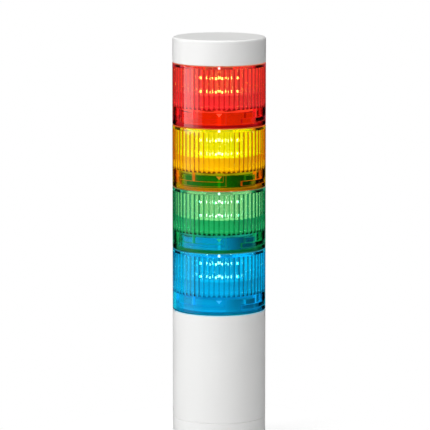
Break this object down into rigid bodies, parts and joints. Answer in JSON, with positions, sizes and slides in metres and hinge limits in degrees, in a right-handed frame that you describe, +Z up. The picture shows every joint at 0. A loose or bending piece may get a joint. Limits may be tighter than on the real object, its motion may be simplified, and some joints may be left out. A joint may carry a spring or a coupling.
{
  "type": "stack light",
  "caption": "Upright round signal tower: a white base casing, stacked clear coloured lens tiers of red over amber, green and blue, each on a twist-lock bayonet, and a flat white cap.",
  "frame": {"origin": "centre of the mounting face, on the tower's axis", "axes": "+Z up along the tower's axis, -Y the front, where the index marks line up"},
  "size_m": [0.06, 0.0602, 0.2665],
  "materials": {
    "white_case": "satin moulded",
    "white_moulding": "smooth moulded",
    "red_lens": "polished clear tint",
    "amber_lens": "polished clear tint",
    "green_lens": "polished clear tint",
    "blue_lens": "polished clear tint",
    "clear_acrylic": "clear frosted inside",
    "white_board": "satin solder mask",
    "led_lamp": "clear domed",
    "black_nylon": "fine matt moulded",
    "pale_nylon": "smooth moulded",
    "silicone_seal": "smooth moulded",
    "brass_strip": "stamped and bent",
    "brass_turned": "turned",
    "black_rubber": "matt",
    "zinc_steel": "bright zinc plated",
    "green_board": "satin solder mask",
    "black_epoxy": "matt cast",
    "green_terminal": "fine matt moulded"
  },
  "bodies": {
    "base_unit": {"base_gasket": "black_rubber", "base_cup": "white_case", "mounting_inserts": "brass_turned", "cable_grommet": "black_rubber", "base_screws": "zinc_steel", "base_body": "white_case", "control_board": "green_board", "board_parts": "black_epoxy", "terminal_block": "green_terminal", "terminal_screws": "zinc_steel", "board_socket": "black_nylon", "base_contacts": "brass_strip", "base_contact_plate": "pale_nylon", "base_seal": "silicone_seal"},
    "blue_module": {"blue_lens": "blue_lens", "blue_inner_lens": "clear_acrylic", "blue_holder": "white_moulding", "blue_led_board": "white_board", "blue_leds": "led_lamp", "blue_contact_plate": "pale_nylon", "blue_contacts": "brass_strip", "blue_seal": "silicone_seal"},
    "green_module": {"green_lens": "green_lens", "green_inner_lens": "clear_acrylic", "green_holder": "white_moulding", "green_led_board": "white_board", "green_leds": "led_lamp", "green_contact_plate": "pale_nylon", "green_contacts": "brass_strip", "green_seal": "silicone_seal"},
    "amber_module": {"amber_lens": "amber_lens", "amber_inner_lens": "clear_acrylic", "amber_holder": "white_moulding", "amber_led_board": "white_board", "amber_leds": "led_lamp", "amber_contact_plate": "pale_nylon", "amber_contacts": "brass_strip", "amber_seal": "silicone_seal"},
    "red_module": {"red_lens": "red_lens", "red_inner_lens": "clear_acrylic", "red_holder": "white_moulding", "red_led_board": "white_board", "red_leds": "led_lamp", "red_contact_plate": "pale_nylon", "red_contacts": "brass_strip", "red_seal": "silicone_seal"},
    "head_cap": {"cap": "white_case"}
  },
  "joints": [
    {"name": "blue_twist", "type": "hinge", "parent": "base_unit", "child": "blue_module", "pos_m": [0, 0, 0.09], "axis": [0, 0, 1], "range_deg": [0, 25]},
    {"name": "green_twist", "type": "hinge", "parent": "blue_module", "child": "green_module", "pos_m": [0, 0, 0.13], "axis": [0, 0, 1], "range_deg": [0, 25]},
    {"name": "amber_twist", "type": "hinge", "parent": "green_module", "child": "amber_module", "pos_m": [0, 0, 0.17], "axis": [0, 0, 1], "range_deg": [0, 25]},
    {"name": "red_twist", "type": "hinge", "parent": "amber_module", "child": "red_module", "pos_m": [0, 0, 0.21], "axis": [0, 0, 1], "range_deg": [0, 25]},
    {"name": "cap_twist", "type": "hinge", "parent": "red_module", "child": "head_cap", "pos_m": [0, 0, 0.25], "axis": [0, 0, 1], "range_deg": [0, 25]}
  ]
}
